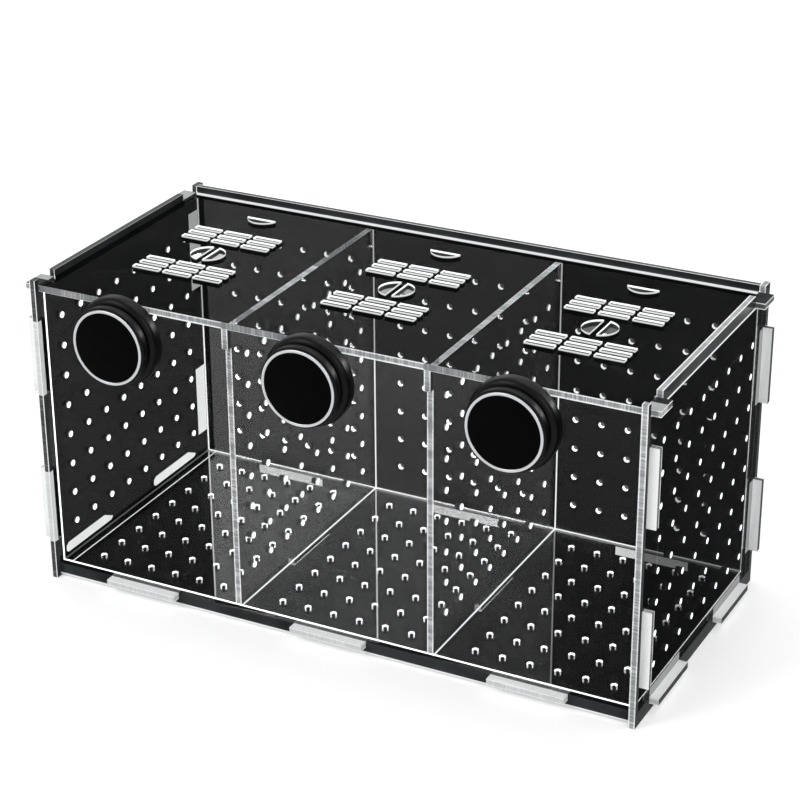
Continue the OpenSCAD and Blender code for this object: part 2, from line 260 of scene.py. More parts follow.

# %% [markdown]
# ### Open edges and tabs
# How bright an edge looks depends on the light that its sheet pipes to it, so each kind of
# edge has its own painted glow and lightness: raw and white, dim, or clear with bright corners.
# Tab ends are the lightest, painted white with a glow, because they stick out of the box and
# collect light on all sides.

# %% Materials: open edges and tabs
sheet_finish |= {
    # raw cuts: a white frosted line round each dark pane
    "edge": cut_edge("laser_cut_acrylic_edge", "#7d8182", "#eef0f0", 0.12),
    # the lid's cut: coarser, with less light at its corners
    "lid_edge": cut_edge(
        "laser_cut_acrylic_lid_edge", "#6f7273", "#c9cccc", 0.1, grain=1.3, corners=(0.8, 1.2)
    ),
    # a dim cut: nearly black, with two thin grey corners of painted highlight
    "dull": cut_edge(
        "laser_cut_acrylic_edge_painted_dim", "#141515", "#9c9f9f", 0.05, grain=0.3, corners=(0.7, 0.9)
    ),
    # a clear cut: dark, with two sharp white corners of painted highlight
    "clear": cut_edge(
        "clear_acrylic_edge_painted_bright_corners", "#060707", "#f2f4f4", 0.15, grain=0.25,
        corners=(0.62, 0.8),
    ),
    # frosted tab ends and tab faces, painted white with a glow: the whitest parts of the box
    "tab": cut_edge("acrylic_tab_painted_lit_white", "#bbbebe", "#e4e6e6", 0.22, grain=0.8),
    # light that leaks out of a tab into the face beside it, painted as a grey veil
    "haze": cut_edge("painted_light_haze_beside_a_tab", "#6d7070", "#9a9d9d", 0.05, grain=0.8),
}
print("finishes so far:", len(sheet_finish))

# %% [markdown]
# ### Edges behind a sheet, and what a sheet shows twice
# The dividers and the floor's slots are seen through smoked acrylic, so their cuts get a
# strong painted glow. Polished acrylic also bends and mirrors light, so a tab or a seam shows a
# second time beside its true place. These second images could come from ray-traced glass, but
# only with much noise. They are patches of painted light and painted reflection instead, cut
# into the face of the sheet that shows them. A one-sided patch glows upwards only, so that it
# doesn't light the table under the box.

# %% Materials: edges behind a sheet and images
sheet_finish |= {
    # the dividers' cuts, which shine as two grey posts through the front panel
    "inner": cut_edge("laser_cut_acrylic_edge_inside", "#808485", "#f0f2f2", 3.6, grain=1.3),
    # and their tops, which shine through the darker lid
    "top": cut_edge(
        "laser_cut_acrylic_edge_under_lid", "#7d8182", "#c9cccc", 8.5, grain=1.5,
        corners=(0.7, 1.1),
    ),
    # a divider's slot in the floor: dark, with two thin bright lines
    "slot_line": cut_edge(
        "laser_cut_acrylic_slot_in_floor", "#0a0b0b", "#f2f4f4", 9.0, grain=0.25,
        corners=(0.6, 0.8),
    ),
    # soft bars of painted light: images of tabs in the left side panel and in the floor
    "image": cut_edge("painted_tab_light_bar_in_acrylic", "#b9bcbc", "#f0f2f2", 6.5, grain=0.8),
    "low_image": cut_edge(
        "painted_tab_light_bar_in_floor", "#b9bcbc", "#f0f2f2", 5.0, grain=0.5, one_sided=True
    ),
    # thin lines of painted light: images of cement seams, dim or bright
    "seam": cut_edge("painted_seam_reflection_in_acrylic", "#8f9292", "#c9cccc", 2.0, grain=0.8),
    "line": cut_edge("bright_painted_light_line", "#c9cccc", "#f0f2f2", 6.0, grain=0.6),
    "mirror_line": cut_edge(
        "painted_seam_reflection_in_floor", "#c9cccc", "#f0f2f2", 4.0, grain=0.3, one_sided=True
    ),
}
print("finishes so far:", len(sheet_finish))

# %% [markdown]
# ## Walls of holes and slots
# A water hole of 3 mm in a sheet of 3 mm is a short frosted tube. From the open side, the wall
# across from the viewer shows, brightest at its rim. Through the sheet, the near wall shows
# from behind, and its light sits at its own rim. That light is a painted glow over a lighter
# painted colour, so the material asks which side of the wall is seen, and has a range across
# the thickness for each. In the floor, the two walls that stand sideways reach further down,
# which gives each hole the outline of a small arch.

# %% Material function: walls of holes and slots
LEG_AXIS = (0.89, 0.455, 0)  # level, at right angles to the way the camera looks
LEG_TURN = {"From Min": 0.5, "From Max": 0.65}
LEG_REACH = 0.6
WALL_GRAIN = 0.7 * MM  # coarser than the real frost, so that it shows in a small hole


def hole_wall(name, glow, direct, behind, legs=False):
    """A frosted wall with one painted glow for each side that it is seen from.

    direct is (deep share, start, end) across the thickness, for the open side, and behind is
    (near share, start, end, rest), for the side in the sheet. With legs, the glow behind is
    only on the walls that stand sideways, and theirs reaches further on the open side.
    """
    material, add = new_material(name)
    cut = add("Attribute", {"attribute_name": "cut_place"}).outputs["Vector"]
    across = add("SeparateXYZ", links={"Vector": cut}).outputs["Z"]
    wall = add("NewGeometry")
    reach = across
    if legs:
        along_axis = {"operation": "DOT_PRODUCT", 1: LEG_AXIS}
        turn = add("VectorMath", along_axis, {0: wall.outputs["True Normal"]}).outputs["Value"]
        turn = add("Math", {"operation": "ABSOLUTE"}, {0: turn})
        leg = add("MapRange", LEG_TURN, {"Value": turn})
        reach = add("Math", {"operation": "MULTIPLY_ADD", 1: LEG_REACH}, {0: leg, 2: across})
    open_range = {"From Min": direct[1], "From Max": direct[2], "To Min": direct[0]}
    open_side = add("MapRange", open_range, {"Value": reach})
    sheet_range = {"From Min": behind[1], "From Max": behind[2], "To Max": behind[0]}
    sheet_side = add("MapRange", sheet_range, {"Value": across})
    if legs:
        sheet_side = add("Math", {"operation": "MULTIPLY"}, {0: sheet_side, 1: leg})
    sheet_side = add("Math", {"operation": "MAXIMUM", 1: behind[3]}, {0: sheet_side})
    sides = {0: wall.outputs["Backfacing"], 2: open_side, 3: sheet_side}
    seen = add("Mix", {"data_type": "FLOAT"}, sides)
    grain = add("TexNoise", {"Scale": 1 / WALL_GRAIN, "Detail": 2.0}, {"Vector": cut})
    body_stops = {"stops": [(0.0, "#060707"), (1.0, "#dfe2e2")]}
    glow_stops = {"stops": [(0.3, "#d5d8d8"), (0.7, "#fbfcfc")]}
    frosted = add("BsdfPrincipled", {"IOR": 1.49, "Specular IOR Level": 0.2}, {
        "Base Color": add("ValToRGB", body_stops, {"Fac": seen}),
        "Emission Color": add("ValToRGB", glow_stops, {"Fac": grain}),
        "Emission Strength": add("Math", {"operation": "MULTIPLY", 1: glow}, {0: seen}),
        "Roughness": add("MapRange", FROST_ROUGHNESS, {"Value": grain}),
    })
    add("OutputMaterial", links={"Surface": frosted})
    return material


print("reach of the legs across the thickness:", LEG_REACH)

# %% [markdown]
# ### Which holes look how
# One pattern of holes looks different in each sheet, because each is seen at its own slant and
# through its own number of other sheets. The settings below follow from that.

# %% Materials: walls of holes and slots
sheet_finish |= {
    # front and rear panels: each hole is a dark dot over a bright crescent
    "inner_hole": hole_wall(
        "laser_cut_acrylic_hole_inside", 13, (0.0, -0.6, -0.15), (0.08, 0.0, 0.6, 0.03)
    ),
    # floor: each hole is a small bright arch with two legs
    "floor_hole": hole_wall(
        "laser_cut_acrylic_hole_in_floor", 12, (0.0, 0.1, 0.5), (1.2, -0.5, 0.0, 0.025),
        legs=True,
    ),
    # left panel and dividers: small bright ovals, seen at a slant through other sheets
    "side_hole": hole_wall(
        "laser_cut_acrylic_hole_in_side", 14, (1.0, -1, 0), (0.5, 0.4, 0.6, 0.01)
    ),
    "divider_hole": hole_wall(
        "laser_cut_acrylic_hole_in_divider", 12, (1.0, -1, 0), (0.4, 0.45, 0.65, 0.035)
    ),
    # right panel: pale ovals with nothing in front of them
    "outer_hole": hole_wall(
        "laser_cut_acrylic_hole_outside", 0.85, (1.0, -1, 0), (0.1, -1, 1, 0.0)
    ),
    # lid: feeding slots and holes with a crisp white rim over a dark wall
    "slot": hole_wall(
        "laser_cut_acrylic_slot_in_lid", 0.85, (0.02, 0.28, 0.52), (4.5, 0.35, 0.6, 0.0)
    ),
    # the lid's rear edge, which glints through the lid as one long line
    "rear_edge": hole_wall(
        "laser_cut_acrylic_rear_edge_of_lid", 4.2, (0.05, -1, 1), (1.0, 0.05, 0.3, 0.0)
    ),
}
print("finishes of the sheets:", len(sheet_finish))

# %% [markdown]
# ## The eight sheets
# Each sheet keeps its CAD shape. A copy of the node is merged, because a CAD node's triangles
# are loose, and cut along the planes where its tabs leave the box, so that faces, tabs, holes
# and edges can each take their own finish. The tools of edit mode work on what is selected, so
# these helpers open a piece and select its faces or edges by their place.

# %% Helpers for meshes in edit mode
def only(piece):
    """Makes one object the active one and the only one selected."""
    bpy.ops.object.select_all(action="DESELECT")
    piece.select_set(True)
    bpy.context.view_layer.objects.active = piece


def edit(piece, kind="FACE"):
    """Opens a piece in edit mode with all of it selected."""
    only(piece)
    bpy.ops.object.mode_set(mode="EDIT")
    bpy.context.tool_settings.mesh_select_mode = (kind == "VERT", kind == "EDGE", kind == "FACE")
    bpy.ops.mesh.select_all(action="SELECT")


def done():
    """Leaves edit mode."""
    bpy.ops.object.mode_set(mode="OBJECT")


def pick(piece, kind, test):
    """Selects, in edit mode, just the faces or edges that pass a test."""
    mesh = bmesh.from_edit_mesh(piece.data)
    bpy.ops.mesh.select_all(action="DESELECT")
    for part in mesh.faces if kind == "FACE" else mesh.edges:
        if test(part):
            part.select_set(True)
    bmesh.update_edit_mesh(piece.data)


def give(piece, body, slot, *nodes):
    """Sets a finished piece on its body, in the place of CAD nodes."""
    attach(piece, body)
    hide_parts(*nodes)


print("helpers for meshes:", [helper.__name__ for helper in (only, edit, done, pick, give)])

# %% [markdown]
# ### The measures of the box
# Where one sheet meets another is measured from the CAD nodes, so that the finishes follow the
# frame. The places of the tabs along the seams are those of the cutting pattern.

# %% Measures of the box
X, Y, Z = 0, 1, 2
TOUCH = 0.2 * MM
FACING = 0.9  # share of a normal along an axis, from which a face counts as facing it
SHEETS = (
    "left_side_panel", "right_side_panel", "front_panel", "rear_panel",
    "floor_panel", "left_divider", "right_divider", "lid",
)
sheet_box = {node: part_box(node) for node in SHEETS}
left_low, left_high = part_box("left_side_panel")
right_low, right_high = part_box("right_side_panel")
front_low, front_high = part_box("front_panel")
rear_low, rear_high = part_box("rear_panel")
inner_left, inner_right = left_high[X], right_low[X]
inner_front, inner_rear = front_high[Y], rear_low[Y]
floor_top, wall_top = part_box("floor_panel")[1][Z], front_high[Z]
lid_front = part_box("lid")[0][Y]
dividers_x = [(sheet_box[n][0][X], sheet_box[n][1][X]) for n in ("left_divider", "right_divider")]
(left_divider_x, left_divider_end), (right_divider_x, right_divider_end) = dividers_x
TAB_PLANES_X = (left_low[X], left_high[X], right_low[X], right_high[X])
TAB_PLANES_Y = (front_low[Y], front_high[Y], rear_low[Y], rear_high[Y])


def spread(middles, half_length, start=0):
    """The (low, high) ranges round some middles, in mm from a start."""
    return tuple(
        (start + (at - half_length) * MM, start + (at + half_length) * MM) for at in middles
    )


def ends(ranges):
    """Both ends of every range, in one list."""
    return [end for low_high in ranges for end in low_high]


WALL_TABS_Z = spread((38, 114.5), 18.5)
SIDE_TABS_Y = spread((-39, 39), 17.5, (front_low[Y] + rear_high[Y]) / 2)
END_TABS_X = spread((-99, 0, 99), 18.5)
print("tab planes in mm:", [round(p / MM, 1) for p in TAB_PLANES_X + TAB_PLANES_Y])
print("tabs of the walls in mm:", [round(end / MM, 1) for end in ends(WALL_TABS_Z)])

# %% [markdown]
# ### Questions about a place
# A finish is chosen by asking where a face lies. A cut plane is written as a unit normal and a
# distance, since some of the cuts below stand at a slant.

# %% Helpers that ask where a point lies
FIELD_MARGIN_Z = 12 * MM
FIELD_MARGIN = 6 * MM


def near(value, target):
    """True if a value lies at a target."""
    return abs(value - target) < TOUCH


def within(value, *ranges):
    """True if a value lies in one of the (low, high) ranges."""
    return any(low < value < high for low, high in ranges)


def past(point, plane):
    """How far a point lies past a plane, on the side that its normal points to."""
    normal, distance = plane
    return point.dot(normal) - distance


def square_cuts(axis, places):
    """The planes at right angles to an axis at some places along it."""
    normal = Vector([float(a == axis) for a in (X, Y, Z)])
    return [(normal, at) for at in places]


def in_field(point, node, axes):
    """True if a point lies, along these axes, inside a sheet's field of water holes."""
    low, high = sheet_box[node]
    field = (
        (inner_left + FIELD_MARGIN, inner_right - FIELD_MARGIN),
        (inner_front + FIELD_MARGIN, inner_rear - FIELD_MARGIN),
        (low[Z] + FIELD_MARGIN_Z, high[Z] - FIELD_MARGIN_Z),
    )
    return all(within(point[axis], field[axis]) for axis in axes)


print("holes keep this far off the edges in mm:", FIELD_MARGIN / MM, FIELD_MARGIN_Z / MM)

# %% [markdown]
# ### Sorting a sheet's faces
# A face whose normal lies along the thickness is the sheet's own face, or a tab's if it lies
# past the box's side. Any other face is a cut wall: a hole's if it lies inside the field of
# holes, a bonded one if it lies against another sheet, or else an open edge. An edge that is
# bonded to another sheet turns clear, as it does when the cement fills its frosting.

# %% Dress the sheets
MERGE_REACH = 1e-6
BROAD = 0.5  # share of a normal along the thickness, above which a face isn't a cut
SMOOTH_ANGLE = math.radians(35)


def sheet_copy(node, axis, planes):
    """A merged copy of a CAD sheet, cut along planes, with its cut_place attribute."""
    piece = bpy.data.objects.new(node + "_sheet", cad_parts[node].data.copy())
    bpy.context.scene.collection.objects.link(piece)
    edit(piece, "VERT")
    bpy.ops.mesh.remove_doubles(threshold=MERGE_REACH)
    for normal, distance in planes:
        bpy.ops.mesh.select_all(action="SELECT")
        bpy.ops.mesh.bisect(plane_co=distance * normal, plane_no=normal)
    done()
    low, high = sheet_box[node]
    seen_from = -1 if axis == Y else 1
    first, second = [a for a in (X, Y, Z) if a != axis]
    cut_place = piece.data.attributes.new("cut_place", "FLOAT_VECTOR", "POINT")
    for vertex, value in zip(piece.data.vertices, cut_place.data):
        across = seen_from * (2 * (vertex.co[axis] - low[axis]) / (high[axis] - low[axis]) - 1)
        value.vector = (vertex.co[first], vertex.co[second], across)
    return piece


def dress(node, axis, planes, finish_of, body="box", slot="sheet"):
    """Copies a sheet and gives each face the finish that finish_of(normal, centre, broad) names.

    axis is the one along the thickness, and broad is True on the sheet's two large faces.
    """
    piece = sheet_copy(node, axis, planes)
    piece.data.materials.clear()
    names = list(sheet_finish)
    for material in sheet_finish.values():
        piece.data.materials.append(material)
    used = {}
    for polygon in piece.data.polygons:
        finish = finish_of(polygon.normal, polygon.center, abs(polygon.normal[axis]) > BROAD)
        polygon.material_index = names.index(finish)
        used[finish] = used.get(finish, 0) + 1
    only(piece)
    bpy.ops.object.material_slot_remove_unused()
    bpy.ops.object.shade_smooth_by_angle(angle=SMOOTH_ANGLE)
    give(piece, body, slot, node)
    print(piece.name, "faces by finish:", used)


# %% [markdown]
# ### Light bars in the left side panel
# The floor's tabs stand in the left side panel and send light up into it, so a soft bar shows
# above each of them. A bar's corners are cut at a slant, the far upper one the most, because a
# tab lights the sheet unevenly. An upright strip at the rear shows the rear panel's tabs.

# %% Bars of light
BAR_Z = (floor_top + 2.2 * MM, floor_top + 7.2 * MM)
BAR_SHIFT = -5 * MM
BAR_SPREAD = 2.5 * MM
BAR_CORNERS = (  # end in Y and in Z (1 is high), then the cut's length in Y and in Z
    (1, 1, 7 * MM, 3.4 * MM),
    (-1, 1, 2 * MM, 1.5 * MM),
    (-1, -1, 1.5 * MM, 1 * MM),
    (1, -1, 1.5 * MM, 1 * MM),
)
bars_y = tuple(
    (low + BAR_SHIFT - BAR_SPREAD, high + BAR_SHIFT + BAR_SPREAD) for low, high in SIDE_TABS_Y
)
strip_y = (inner_rear - 9 * MM, inner_rear - 0.8 * MM)
strip_z = (WALL_TABS_Z[0], (WALL_TABS_Z[1][0] + 4 * MM, WALL_TABS_Z[1][1] + 8 * MM))


def corner_cut(bar_y, y_end, z_end, y_run, z_run):
    """The plane that cuts off one corner of a bar, facing out."""
    corner_y, corner_z = bar_y[y_end > 0], BAR_Z[z_end > 0]
    normal = Vector((0, y_end / y_run, z_end / z_run)).normalized()
    return normal, Vector((0, corner_y - y_end * y_run, corner_z)).dot(normal)


bar_cuts = [[corner_cut(bar_y, *corner) for corner in BAR_CORNERS] for bar_y in bars_y]


def in_light_bar(centre):
    """True inside a bar above a floor tab, or inside the strip beside the rear tabs."""
    for bar_y, cuts in zip(bars_y, bar_cuts):
        if within(centre[Y], bar_y) and within(centre[Z], BAR_Z):
            return all(past(centre, cut) < 0 for cut in cuts)
    return within(centre[Z], *strip_z) and within(centre[Y], strip_y)


print("bars in mm:", [round(end / MM, 1) for end in ends(bars_y)])

# %% [markdown]
# ### The side panels
# The side panels stand past the other sheets, and their outer strips carry no bond, so they
# look like rims, lightened with painted stray light. At the height of the lid a thin line of
# painted light runs along both. The left panel is seen from its inner side, through the box.
# The right one is seen from outside, and tabs that end in it throw a grey haze of painted light
# into its face. Faces could be picked by their numbers, but any change in CAD would break that,
# so a function names a face's finish from where it lies.

# %% Side panels
HAZE_WIDTH = 4.5 * MM
lid_line_z = (wall_top - 0.3 * MM, wall_top + 0.6 * MM)


def left_finish(normal, centre, broad):
    """Finishes of the left side panel."""
    in_tab_z = within(centre[Z], *WALL_TABS_Z)
    past_front, past_rear = centre[Y] < front_low[Y], centre[Y] > rear_high[Y]
    if broad:
        if not (past_front or past_rear) and normal[X] > 0 and within(centre[Z], lid_line_z):
            return "dull"
        if past_front or past_rear or not floor_top < centre[Z] < wall_top:
            if past_front and in_tab_z:
                return "tab"
            return "light" if past_rear else "border"
        return "image" if normal[X] > 0 and in_light_bar(centre) else "face"
    if in_field(centre, "left_side_panel", (Y, Z)):
        return "side_hole"
    if normal[Z] > FACING and centre[Z] > wall_top:
        return "dull"
    return "tab" if normal[Y] < -FACING and past_front and in_tab_z else "clear"


def right_finish(normal, centre, broad):
    """Finishes of the right side panel."""
    if broad:
        past_end = not front_low[Y] < centre[Y] < rear_high[Y]
        if not past_end and normal[X] > 0 and within(centre[Z], lid_line_z):
            return "tab"
        if past_end or not floor_top < centre[Z] < wall_top:
            return "border"
        above_tab = centre[Z] < floor_top + HAZE_WIDTH and within(centre[Y], *SIDE_TABS_Y)
        beside_tab = within(centre[Z], *WALL_TABS_Z) and centre[Y] > inner_rear - HAZE_WIDTH
        return "haze" if normal[X] > 0 and (above_tab or beside_tab) else "dark"
    return "outer_hole" if in_field(centre, "right_side_panel", (Y, Z)) else "edge"


shared_planes = square_cuts(Y, (front_low[Y], rear_high[Y]))
shared_planes += square_cuts(Z, (floor_top, wall_top, *ends(WALL_TABS_Z), *lid_line_z))
left_planes = shared_planes + square_cuts(Y, strip_y) + square_cuts(Z, BAR_Z)
left_planes += square_cuts(Y, ends(bars_y)) + square_cuts(Z, ends(strip_z))
left_planes += [cut for cuts in bar_cuts for cut in cuts]
right_planes = shared_planes + square_cuts(Y, (inner_rear - HAZE_WIDTH,))
right_planes += square_cuts(Z, (floor_top + HAZE_WIDTH,)) + square_cuts(Y, ends(SIDE_TABS_Y))
dress("left_side_panel", X, left_planes, left_finish)
dress("right_side_panel", X, right_planes, right_finish)

# %% [markdown]
# ### The front and rear panels
# Their tabs pass through the side panels and end outside them as frosted bars, painted white
# with a glow. The front panel's face has a painted highlight along a narrow strip at its bottom
# edge. The rear panel has the bright table close behind it, and the further left it is seen,
# the more of that light comes through, so it is cut at the dividers into three parts, each
# with a tint of its own that paints that light.

# %% Front and rear panels
# a strip of the front face along its bottom edge, painted as a highlight with the edge's glow
LIT_STRIP = 0.9 * MM


def front_finish(normal, centre, broad):
    """Finishes of the front panel."""
    past_side = not left_low[X] < centre[X] < right_high[X]
    if broad:
        if past_side:
            return "tab"
        if normal[Y] < 0 and centre[Z] < front_low[Z] + LIT_STRIP:
            return "edge"
        return "face" if floor_top < centre[Z] < wall_top + TOUCH else "border"
    if in_field(centre, "front_panel", (X, Z)):
        return "inner_hole"
    if abs(normal[X]) > FACING:
        if centre[X] > right_high[X]:
            return "clear"
        return "border" if past_side else "face"
    return "edge"


def rear_finish(normal, centre, broad):
    """Finishes of the rear panel."""
    past_side = not left_low[X] < centre[X] < right_high[X]
    if broad:
        if past_side:
            return "tab"
        # below the floor the panel is left clear: painted light where a dark band would be
        if centre[Z] < floor_top:
            return "plain"
        if centre[Z] > wall_top + TOUCH:
            return "border"
        if centre[X] > right_divider_x:
            return "face"
        return "half" if centre[X] > left_divider_x else "light"
    if in_field(centre, "rear_panel", (X, Z)):
        return "inner_hole"
    if abs(normal[X]) > FACING:
        return "border" if past_side else "face"
    return "clear" if centre[Z] > floor_top + TOUCH else "plain"


side_planes = square_cuts(X, TAB_PLANES_X)
front_planes = side_planes + square_cuts(Z, (floor_top, front_low[Z] + LIT_STRIP))
dress("front_panel", Y, front_planes, front_finish)
rear_planes = side_planes + square_cuts(Z, (floor_top, wall_top))
rear_planes += square_cuts(X, (left_divider_x, right_divider_x))
dress("rear_panel", Y, rear_planes, rear_finish)

# %% [markdown]
# ### Mirror lines in the floor
# The floor is polished, so the upright seam in each bay's rear corner is mirrored in it, as a
# line that runs straight towards the viewer, drawn as a painted reflection. A plane through the
# camera and the corner's foot cuts the floor along just that line. It also parts the floor that
# mirrors the dark side from the floor that mirrors the rear, and each part gets a tint of its
# own, as a painted reflection. Bars of painted light in front of the rear panel show its tabs.

# %% Places on the floor
LEFT_BAY, MIDDLE_BAY, RIGHT_BAY = 0, 1, 2
FLOOR_BAR_SHIFT = 5.5 * MM
MIRROR_LINE = 0.35 * MM
SLOT_MARGIN = 1 * MM
floor_bar_y = (inner_rear - 11 * MM, inner_rear - 3.2 * MM)
left_seam_x = (inner_left + 4.2 * MM, inner_left + 4.9 * MM)
rear_seam_y = (inner_rear - 2.4 * MM, inner_rear - 0.7 * MM)
bays_x = (
    (inner_left, left_divider_x),
    (left_divider_end, right_divider_x),
    (right_divider_end, inner_right),
)
divider_slots_x = [(low - SLOT_MARGIN, high + SLOT_MARGIN) for low, high in dividers_x]


def sight_plane(x, y):
    """The upright plane through the camera and a point of the floor, facing right."""
    foot = Vector((x, y, 0))
    normal = (CAMERA_PLACE - foot).cross(Vector((0, 0, -1))).normalized()
    return normal, foot.dot(normal)


mirror_planes = [sight_plane(bay_x[0], inner_rear) for bay_x in bays_x]
bar_middle_y = sum(floor_bar_y) / 2
floor_bar_ends = [
    [sight_plane(end + FLOOR_BAR_SHIFT, bar_middle_y) for end in tab_x] for tab_x in END_TABS_X
]


def in_floor_bar(centre):
    """True inside one of the bars of light in front of the rear panel."""
    return within(centre[Y], floor_bar_y) and any(
        past(centre, left) > 0 > past(centre, right) for left, right in floor_bar_ends
    )


print("bays in mm:", [round(end / MM, 1) for end in ends(bays_x)])

# %% [markdown]
# ### The floor
# The floor's tabs end in all four walls. A divider's slot is seen through the floor itself,
# from the front and the right: with a painted glow, its front wall shines as one bright line
# and its right wall as two thin ones. The other cuts of the floor are bonded and stay clear.

# %% Floor
def floor_face_finish(normal, centre):
    """Finishes of the floor's two large faces, inside the walls."""
    bay = next((n for n, bay_x in enumerate(bays_x) if within(centre[X], bay_x)), None)
    past_mirror = None if bay is None else past(centre, mirror_planes[bay])
    if normal[Z] > 0:
        if in_floor_bar(centre):
            return "low_image"
        if within(centre[X], left_seam_x):
            return "line"
        if within(centre[Y], rear_seam_y):
            return "seam"
        if bay is not None and abs(past_mirror) < MIRROR_LINE:
            return "seam" if bay == RIGHT_BAY else "mirror_line"
    if bay in (MIDDLE_BAY, None):
        return "light"
    if past_mirror < 0:
        return "face" if bay == LEFT_BAY else "half"
    return "plain" if bay == LEFT_BAY else "face"


def floor_finish(normal, centre, broad):
    """Finishes of the floor."""
    past_side = not left_low[X] < centre[X] < right_high[X]
    past_wall = not front_low[Y] < centre[Y] < rear_high[Y]
    if broad:
        return "tab" if past_side or past_wall else floor_face_finish(normal, centre)
    if in_field(centre, "floor_panel", (X, Y)):
        if not within(centre[X], *divider_slots_x):
            return "floor_hole"
        if normal[Y] > FACING:
            return "line"
        return "slot_line" if normal[X] < -FACING else "plain"
    if past_side:
        return "border" if abs(normal[X]) > FACING else "tab"
    return "tab" if past_wall else "plain"


floor_planes = side_planes + square_cuts(Y, TAB_PLANES_Y + floor_bar_y + rear_seam_y)
floor_planes += square_cuts(X, left_seam_x + (left_divider_x, right_divider_x))
floor_planes += [plane for both_ends in floor_bar_ends for plane in both_ends]
for normal, distance in mirror_planes:
    floor_planes += [(normal, distance - MIRROR_LINE), (normal, distance + MIRROR_LINE)]
dress("floor_panel", Z, floor_planes, floor_finish)

# %% [markdown]
# ### The dividers
# Two sheets part the box into three bays. Their front tabs stick out through the front panel
# as open edges. Inside, their faces are left clear, since the smoked front panel and lid
# already darken them, and only their front and top cuts are seen.

# %% Dividers
def divider_finish(node):
    """Gives the function that names a divider's finishes."""
    def finish(normal, centre, broad):
        """Finishes of this divider."""
        in_front = centre[Y] < inner_front
        if broad:
            return "tab" if in_front else "plain"
        if in_field(centre, node, (Y, Z)):
            return "divider_hole"
        if in_front:
            return "edge"
        if normal[Z] > FACING:
            return "top"
        return "inner" if normal[Y] < -FACING else "plain"
    return finish


for side in ("left", "right"):
    node = side + "_divider"
    dress(node, X, square_cuts(Y, (inner_front,)), divider_finish(node))

# %% [markdown]
# ### The lid
# The lid lifts off, and its ears lie across the side panels. Its front edge is lit where
# nothing dark stands below it, so it is cut into bright and dull lengths of painted glow. On
# the ears, a grey veil of painted light lies on the near end at the right and on all but the
# near end at the left.

# %% Lid
EAR_LIGHT = 7 * MM
LIT_LENGTHS_X = (
    (-103 * MM, left_divider_x),
    (-6 * MM, right_divider_x),
    (91 * MM, inner_right),
)


def lid_finish(normal, centre, broad):
    """Finishes of the lid: its ears and its side edges are the bright parts."""
    past_side = not inner_left < centre[X] < inner_right
    near_front = centre[Y] < lid_front + EAR_LIGHT
    if broad:
        if past_side:
            return "haze" if (centre[X] > 0) == near_front else "border"
        return "deep"
    if in_field(centre, "lid", (X, Y)):
        return "slot"
    if past_side:
        return "edge" if near_front or centre[X] < 0 else "clear"
    if normal[Y] > FACING:
        return "rear_edge"
    if abs(normal[X]) > FACING:
        return "edge" if normal[X] > 0 else "border"
    return "edge" if within(centre[X], *LIT_LENGTHS_X) else "lid_edge"


lid_planes = square_cuts(X, (inner_left,)) + square_cuts(Y, (lid_front + EAR_LIGHT,))
lid_planes += square_cuts(X, ends(LIT_LENGTHS_X))
dress("lid", Z, lid_planes, lid_finish, body="lid", slot="lid_sheet")

# %% [markdown]
# ## The weld beads
# Acrylic is joined with a thin solvent cement that runs along a seam and swells into a small
# clear bead in the corner. A bead catches light along its whole length, painted here as a
# strong glow, so every inner seam shows as a fine bright line. Each bead is a long block whose
# outer corner is bevelled with a hollow profile, so that it ends as a fillet against both
# sheets. Along the left seam the bead's painted glow is dimmer.

# %% Weld beads
BEAD = 0.5 * MM
WIDE_BEAD = 0.8 * MM
CORNER_REACH = 0.05 * MM
FILLET_SHARE = 0.95  # how much of the block's width the bevel takes
FILLET_HOLLOW = 0.25
# the beads' painted glow: strong, and dimmer along the left seam
weld_cement = cut_edge("solvent_cement_bead", "#b4b9ba", "#f2f4f4", 8.0, grain=0.6)
dim_glow_cement = cut_edge("solvent_cement_bead_dimmer_glow", "#4c4f4f", "#8f9292", 2.0, grain=0.6)


def bead(start, end, inward, width=BEAD, cement=weld_cement):
    """A fillet from start to end in the corner that the two inward directions point out of."""
    start, end, inward = Vector(start), Vector(end), Vector(inward)
    size = [abs(run) + width * abs(side) for run, side in zip(end - start, inward)]
    centre = (start + end) / 2 + width / 2 * inward
    bpy.ops.object.select_all(action="DESELECT")
    bpy.ops.mesh.primitive_cube_add(size=1, location=centre, scale=size)
    piece = bpy.context.object
    bpy.ops.object.transform_apply(location=True, rotation=True, scale=True)
    corner = centre + width / 2 * inward
    axes = [a for a in (X, Y, Z) if inward[a] != 0]

    def at_corner(edge):
        """True for the long edge that stands free of both sheets."""
        place = (edge.verts[0].co + edge.verts[1].co) / 2
        return all(abs(place[a] - corner[a]) < CORNER_REACH for a in axes)

    edit(piece, "EDGE")
    pick(piece, "EDGE", at_corner)
    bpy.ops.mesh.bevel(
        offset=width * FILLET_SHARE, segments=3, profile=FILLET_HOLLOW, affect="EDGES"
    )
    done()
    piece.data.materials.append(cement)
    return piece


def floor_bead(x_ends, y_ends, inward, **style):
    """A bead along a seam of the floor."""
    start, end = zip(x_ends, y_ends, (floor_top, floor_top))
    return bead(start, end, (*inward, 1), **style)


def corner_bead(x, y, inward, **style):
    """A bead up an inner corner of the walls."""
    return bead((x, y, floor_top), (x, y, wall_top), (*inward, 0), **style)


def join(name, pieces):
    """Joins pieces into the first one and names it."""
    only(pieces[0])
    for piece in pieces:
        piece.select_set(True)
    bpy.ops.object.join()
    pieces[0].name = name
    return pieces[0]


# %% [markdown]
# ### Where the beads run
# Four beads run round the floor and four up the corners. Each divider has one along its foot
# and one up its back. Beads that ride on the box together are joined into one object.

